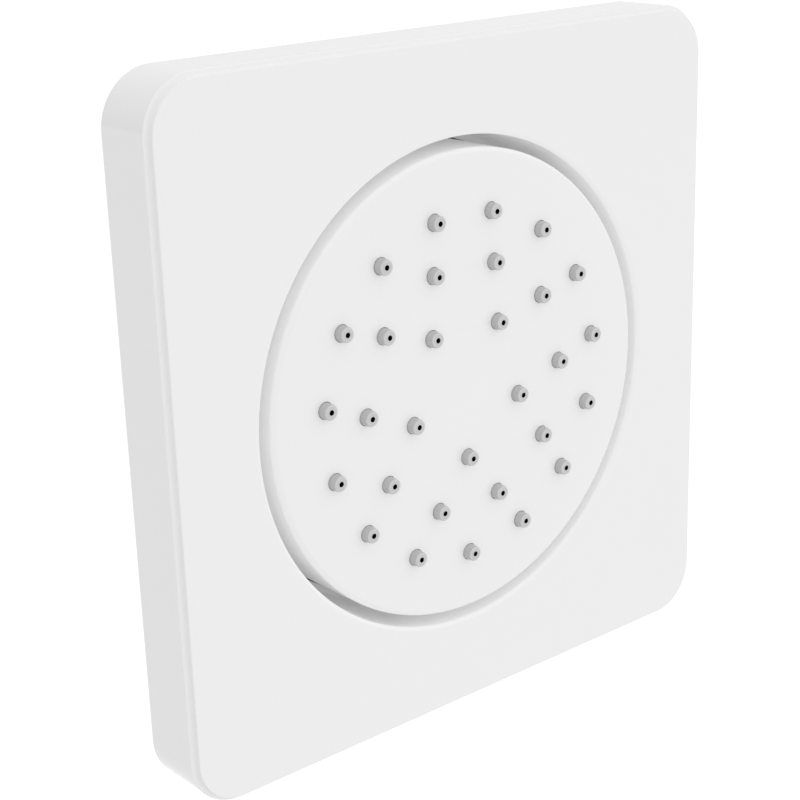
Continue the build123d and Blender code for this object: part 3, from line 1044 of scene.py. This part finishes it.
@dataclass
class WaterInlet:
    """Ball stud with its threaded tail, the nut that holds it and the filter in its end."""

    tail_end: float
    pivot: float
    hex_flats: float
    nut_front: float
    nut_back: float
    nut_flats: float
    washer_front: float
    washer_r: float
    filter_front: float
    filter_back: float
    filter_r: float
    seal_front: float
    seal_back: float
    seal_outer_r: float
    ball_r: float = 8.0
    neck_r: float = 5.6
    waterway_r: float = 4.0
    hex_front: float = 11.846
    hex_height: float = 2.6
    thread_r: float = 10.48
    thread_pitch: float = 1.814
    thread_depth: float = 0.85
    thread_half_width: float = 0.62
    thread_overcut: float = 0.2
    thread_turns: int = 8
    thread_steps: int = 96
    relief: float = 1.0
    relief_depth: float = 0.9
    chamfer: float = 1.0
    inlet_r: float = 7.6
    inlet_depth: float = 9.0
    nut_gap: float = 0.05
    nut_chamfer: float = 1.0
    nut_chamfer_height: float = 0.5
    hub_gap: float = 0.2
    filter_wall: float = 0.9
    filter_hole_r: float = 0.7
    filter_pitch: float = 2.5
    seal_width: float = 2.0
    steps: int = 128
    edge_round: float = 0.15

    @classmethod
    def from_frame(cls) -> "WaterInlet":
        """The inlet at the size that the frame gives."""
        stud_low, stud_high = node_box("ball_stud")
        nut_low, nut_high = node_box("lock_nut")
        washer_low, washer_high = node_box("nut_washer")
        filter_low, filter_high = node_box("inlet_filter")
        seal_low, seal_high = node_box("wall_seal")
        return cls(
            tail_end=stud_high.y,
            pivot=pivot_depth(),
            hex_flats=stud_high.z - stud_low.z,
            nut_front=nut_low.y,
            nut_back=nut_high.y,
            nut_flats=nut_high.z - nut_low.z,
            washer_front=washer_low.y,
            washer_r=washer_high.x,
            filter_front=filter_low.y,
            filter_back=filter_high.y,
            filter_r=filter_high.x,
            seal_front=seal_low.y,
            seal_back=seal_high.y,
            seal_outer_r=seal_high.x,
        )

    def hexagon(self, flats: float, start: float, end: float) -> Piece:
        """A hexagon bar along Y with corners to the left and right.

        Args:
            flats: Width across the flats.
            start: Depth of its front.
            end: Depth of its back.

        Returns:
            The bar.
        """
        bpy.ops.mesh.primitive_cylinder_add(
            vertices=6,
            radius=flats / math.sqrt(3),
            depth=end - start,
            location=(0, (start + end) / 2, 0),
            rotation=(math.radians(90), math.radians(30), 0),
        )
        piece = bpy.context.object
        place(piece)
        return piece

    def thread_groove(self) -> Piece:
        """The helical groove between the turns of the tail's thread, as a solid to cut out."""
        root_r = self.thread_r - self.thread_depth
        mouth_r = self.thread_r + self.thread_overcut
        half = self.thread_half_width * (self.thread_depth + self.thread_overcut) / self.thread_depth
        start = self.nut_back + self.relief / 2
        piece = trace([(root_r, start), (mouth_r, start - half), (mouth_r, start + half)], closed=True)
        screw = piece.modifiers.new("thread", "SCREW")
        screw.axis = "Y"
        screw.angle = math.tau
        screw.screw_offset = self.thread_pitch
        screw.iterations = self.thread_turns
        screw.steps = self.thread_steps
        screw.render_steps = self.thread_steps
        screw.use_merge_vertices = False
        apply_modifier(piece, screw)
        with editing(piece):
            bpy.ops.mesh.select_all(action="SELECT")
            bpy.ops.mesh.remove_doubles(threshold=NEAR)
            bpy.ops.mesh.fill_holes(sides=0)
            bpy.ops.mesh.quads_convert_to_tris()
            bpy.ops.mesh.normals_make_consistent(inside=False)
        return piece

    def bore(self) -> Piece:
        """The waterway through the stud and the wider inlet at its end, as a solid to cut out."""
        inlet_floor = self.tail_end - self.inlet_depth
        outline = [
            (0.0, self.pivot - self.ball_r - 1.0),
            (self.waterway_r, self.pivot - self.ball_r - 1.0),
            (self.waterway_r, inlet_floor),
            (self.inlet_r, inlet_floor),
            (self.inlet_r, self.tail_end + 1.0),
            (0.0, self.tail_end + 1.0),
        ]
        return turned(outline, self.steps)

    def stud(self) -> Piece:
        """Ball, neck, hexagon shoulder and threaded tail, bored through."""
        hex_back = self.hex_front + self.hex_height
        neck_deg = math.degrees(math.acos(self.neck_r / self.ball_r))
        relief_end = self.nut_back + self.relief
        relief_r = self.thread_r - self.relief_depth
        inside_hex = (self.hex_front + hex_back) / 2
        outline = [
            *arc((0.0, self.pivot), self.ball_r, -90, neck_deg, 32),
            (self.neck_r, inside_hex),
            (self.thread_r, inside_hex),
            (self.thread_r, self.nut_back),
            (relief_r, self.nut_back),
            (relief_r, relief_end),
            (self.thread_r, relief_end),
            (self.thread_r, self.tail_end - self.chamfer),
            (self.thread_r - self.chamfer, self.tail_end),
            (0.0, self.tail_end),
        ]
        piece = turned(outline, self.steps)
        shoulder = self.hexagon(self.hex_flats, self.hex_front, hex_back)
        soften(shoulder, 2 * self.edge_round)
        combine(piece, shoulder, Solid.ADD)
        combine(piece, self.bore(), Solid.CUT)
        combine(piece, self.thread_groove(), Solid.CUT)
        return finished(piece, "ball_stud", "fixture", [TURNED_BRASS])

    def lock_nut(self) -> Piece:
        """Hexagon nut with turned chamfers at both ends."""
        corner_r = self.nut_flats / math.sqrt(3)
        bore_r = self.thread_r + self.nut_gap
        flat_r = corner_r - self.nut_chamfer
        shoulder = self.nut_back - self.nut_chamfer_height
        blank = [
            (bore_r + self.nut_chamfer_height, self.nut_front),
            (corner_r + self.nut_chamfer, self.nut_front),
            (corner_r + self.nut_chamfer, shoulder - self.nut_chamfer_height),
            (flat_r, self.nut_back),
            (bore_r + self.nut_chamfer_height, self.nut_back),
            (bore_r, shoulder),
            (bore_r, self.nut_front + self.nut_chamfer_height),
        ]
        piece = self.hexagon(self.nut_flats, self.nut_front, self.nut_back)
        combine(piece, turned(blank, self.steps, closed=True), Solid.COMMON)
        soften(piece, self.edge_round)
        return finished(piece, "lock_nut", "fixture", [TURNED_BRASS])

    def ring(self, inner: float, outer: float, start: float, end: float) -> Piece:
        """A flat ring with softened edges.

        Args:
            inner: Inner radius.
            outer: Outer radius.
            start: Depth of its front.
            end: Depth of its back.

        Returns:
            The ring.
        """
        piece = turned([(inner, start), (outer, start), (outer, end), (inner, end)], self.steps, closed=True)
        soften(piece, self.edge_round)
        return piece

    def filter(self) -> Piece:
        """Strainer cup with a drilled floor, in the end of the tail."""
        floor = self.filter_back - self.filter_wall
        inner = self.filter_r - self.filter_wall
        outline = [
            (self.filter_r - self.edge_round, self.filter_back),
            (self.filter_r, self.filter_back - self.edge_round),
            (self.filter_r, self.filter_front),
            (inner, self.filter_front),
            (inner, floor),
        ]
        places = [Vector(), *ring_of(6, self.filter_pitch), *ring_of(12, 2 * self.filter_pitch)]
        hole = open_tube(self.filter_hole_r, floor, self.filter_back, 24)
        piece = joined([turned(outline, self.steps), *copies(hole, shifted(places))])
        close_plane(piece, floor)
        close_plane(piece, self.filter_back)
        return finished(piece, "inlet_filter", "fixture", [TUMBLED_STEEL])

    def build(self) -> None:
        """The finished stud, nut, washer, filter and wall seal."""
        self.stud()
        self.lock_nut()
        washer = self.ring(self.thread_r + self.hub_gap, self.washer_r, self.washer_front, self.nut_front)
        finished(washer, "nut_washer", "fixture", [TUMBLED_STEEL])
        seal = self.ring(self.seal_outer_r - self.seal_width, self.seal_outer_r, self.seal_front, self.seal_back)
        finished(seal, "wall_seal", "fixture", [BLACK_RUBBER])
        self.filter()


@dataclass
class Studio:
    """Plain pale floor, soft white light from all round and the camera of the photograph."""

    floor_drop: float = 0.35
    floor_side: float = 24.0
    floor_glow: float = 0.25
    light: float = 0.803
    light_from: tuple[float, float, float] = (0.15, -0.14, 0.17)
    camera_mm: tuple[float, float, float] = (-192.176, -226.71, 94.528)
    aim_mm: tuple[float, float, float] = (-14.78, -12.6, 1.21)
    roll_deg: float = 1.852
    lens: float = 79.007

    def floor(self) -> None:
        """A wide pale floor, far enough below that the jet throws no shadow into the picture."""
        bpy.ops.mesh.primitive_plane_add(size=self.floor_side, location=(0, 0, -self.floor_drop))
        piece = bpy.context.object
        piece.name = "floor"
        paint = bpy.data.materials.new("white_painted_floor")
        paint.use_nodes = True
        shader = paint.node_tree.nodes["Principled BSDF"]
        shader.inputs["Base Color"].default_value = linear("#FBFBFB")
        shader.inputs["Roughness"].default_value = 1.0
        shader.inputs["Specular IOR Level"].default_value = 0.0
        shader.inputs["Emission Color"].default_value = linear("#FFFFFF")
        shader.inputs["Emission Strength"].default_value = self.floor_glow
        piece.data.materials.append(paint)
        piece.visible_diffuse = False

    def world(self) -> None:
        """White light from all round, a little stronger from the side that the softbox stands on."""
        world = bpy.data.worlds.new("studio")
        world.use_nodes = True
        tree = world.node_tree
        tree.nodes.clear()
        direction = add_node(tree, "ShaderNodeTexCoord").outputs["Generated"]
        lean = add_node(
            tree, "ShaderNodeVectorMath", {0: direction}, {1: self.light_from}, operation="DOT_PRODUCT"
        ).outputs["Value"]
        strength = add_node(
            tree, "ShaderNodeMath", {0: lean}, {1: self.light, 2: self.light}, operation="MULTIPLY_ADD"
        ).outputs[0]
        sky = add_node(
            tree, "ShaderNodeBackground", {"Strength": strength}, {"Color": (1.0, 1.0, 1.0, 1.0)}
        ).outputs[0]
        add_node(tree, "ShaderNodeOutputWorld", {"Surface": sky})
        bpy.context.scene.world = world
        bpy.context.scene.view_settings.view_transform = "Standard"

    def camera(self) -> None:
        """The camera, where the photograph was taken from."""
        bpy.ops.object.camera_add()
        camera = bpy.context.object
        place_m = Vector(self.camera_mm) / PER_METRE
        gaze = Vector(self.aim_mm) / PER_METRE - place_m
        roll = Quaternion((0, 0, 1), -math.radians(self.roll_deg))
        camera.rotation_mode = "QUATERNION"
        camera.location = place_m
        camera.rotation_quaternion = gaze.to_track_quat("-Z", "Y") @ roll
        camera.data.lens = self.lens
        camera.data.sensor_width = 36.0
        camera.data.clip_start = 0.01
        bpy.context.scene.camera = camera

    def build(self) -> None:
        """The floor, the light and the camera."""
        self.floor()
        self.world()
        self.camera()


def dress_cad_nodes() -> None:
    """Gives the CAD nodes that stay in view their finishes."""
    for node, finish in CAD_FINISHES.items():
        piece = frame["nodes"][node]
        piece.data.materials.clear()
        piece.data.materials.append(finish.material())
        log.info("%s: CAD node in %s", node, finish.name)


def main() -> None:
    """Builds every piece in order, then the studio."""
    logging.basicConfig(level=logging.INFO, format="%(name)s: %(message)s")
    bpy.ops.object.select_all(action="DESELECT")
    WallPlate.from_frame().build()
    SprayHead.from_frame().build()
    MountingCup.from_frame().build()
    WaterInlet.from_frame().build()
    dress_cad_nodes()
    Studio().build()


if __name__ == "__main__":
    main()
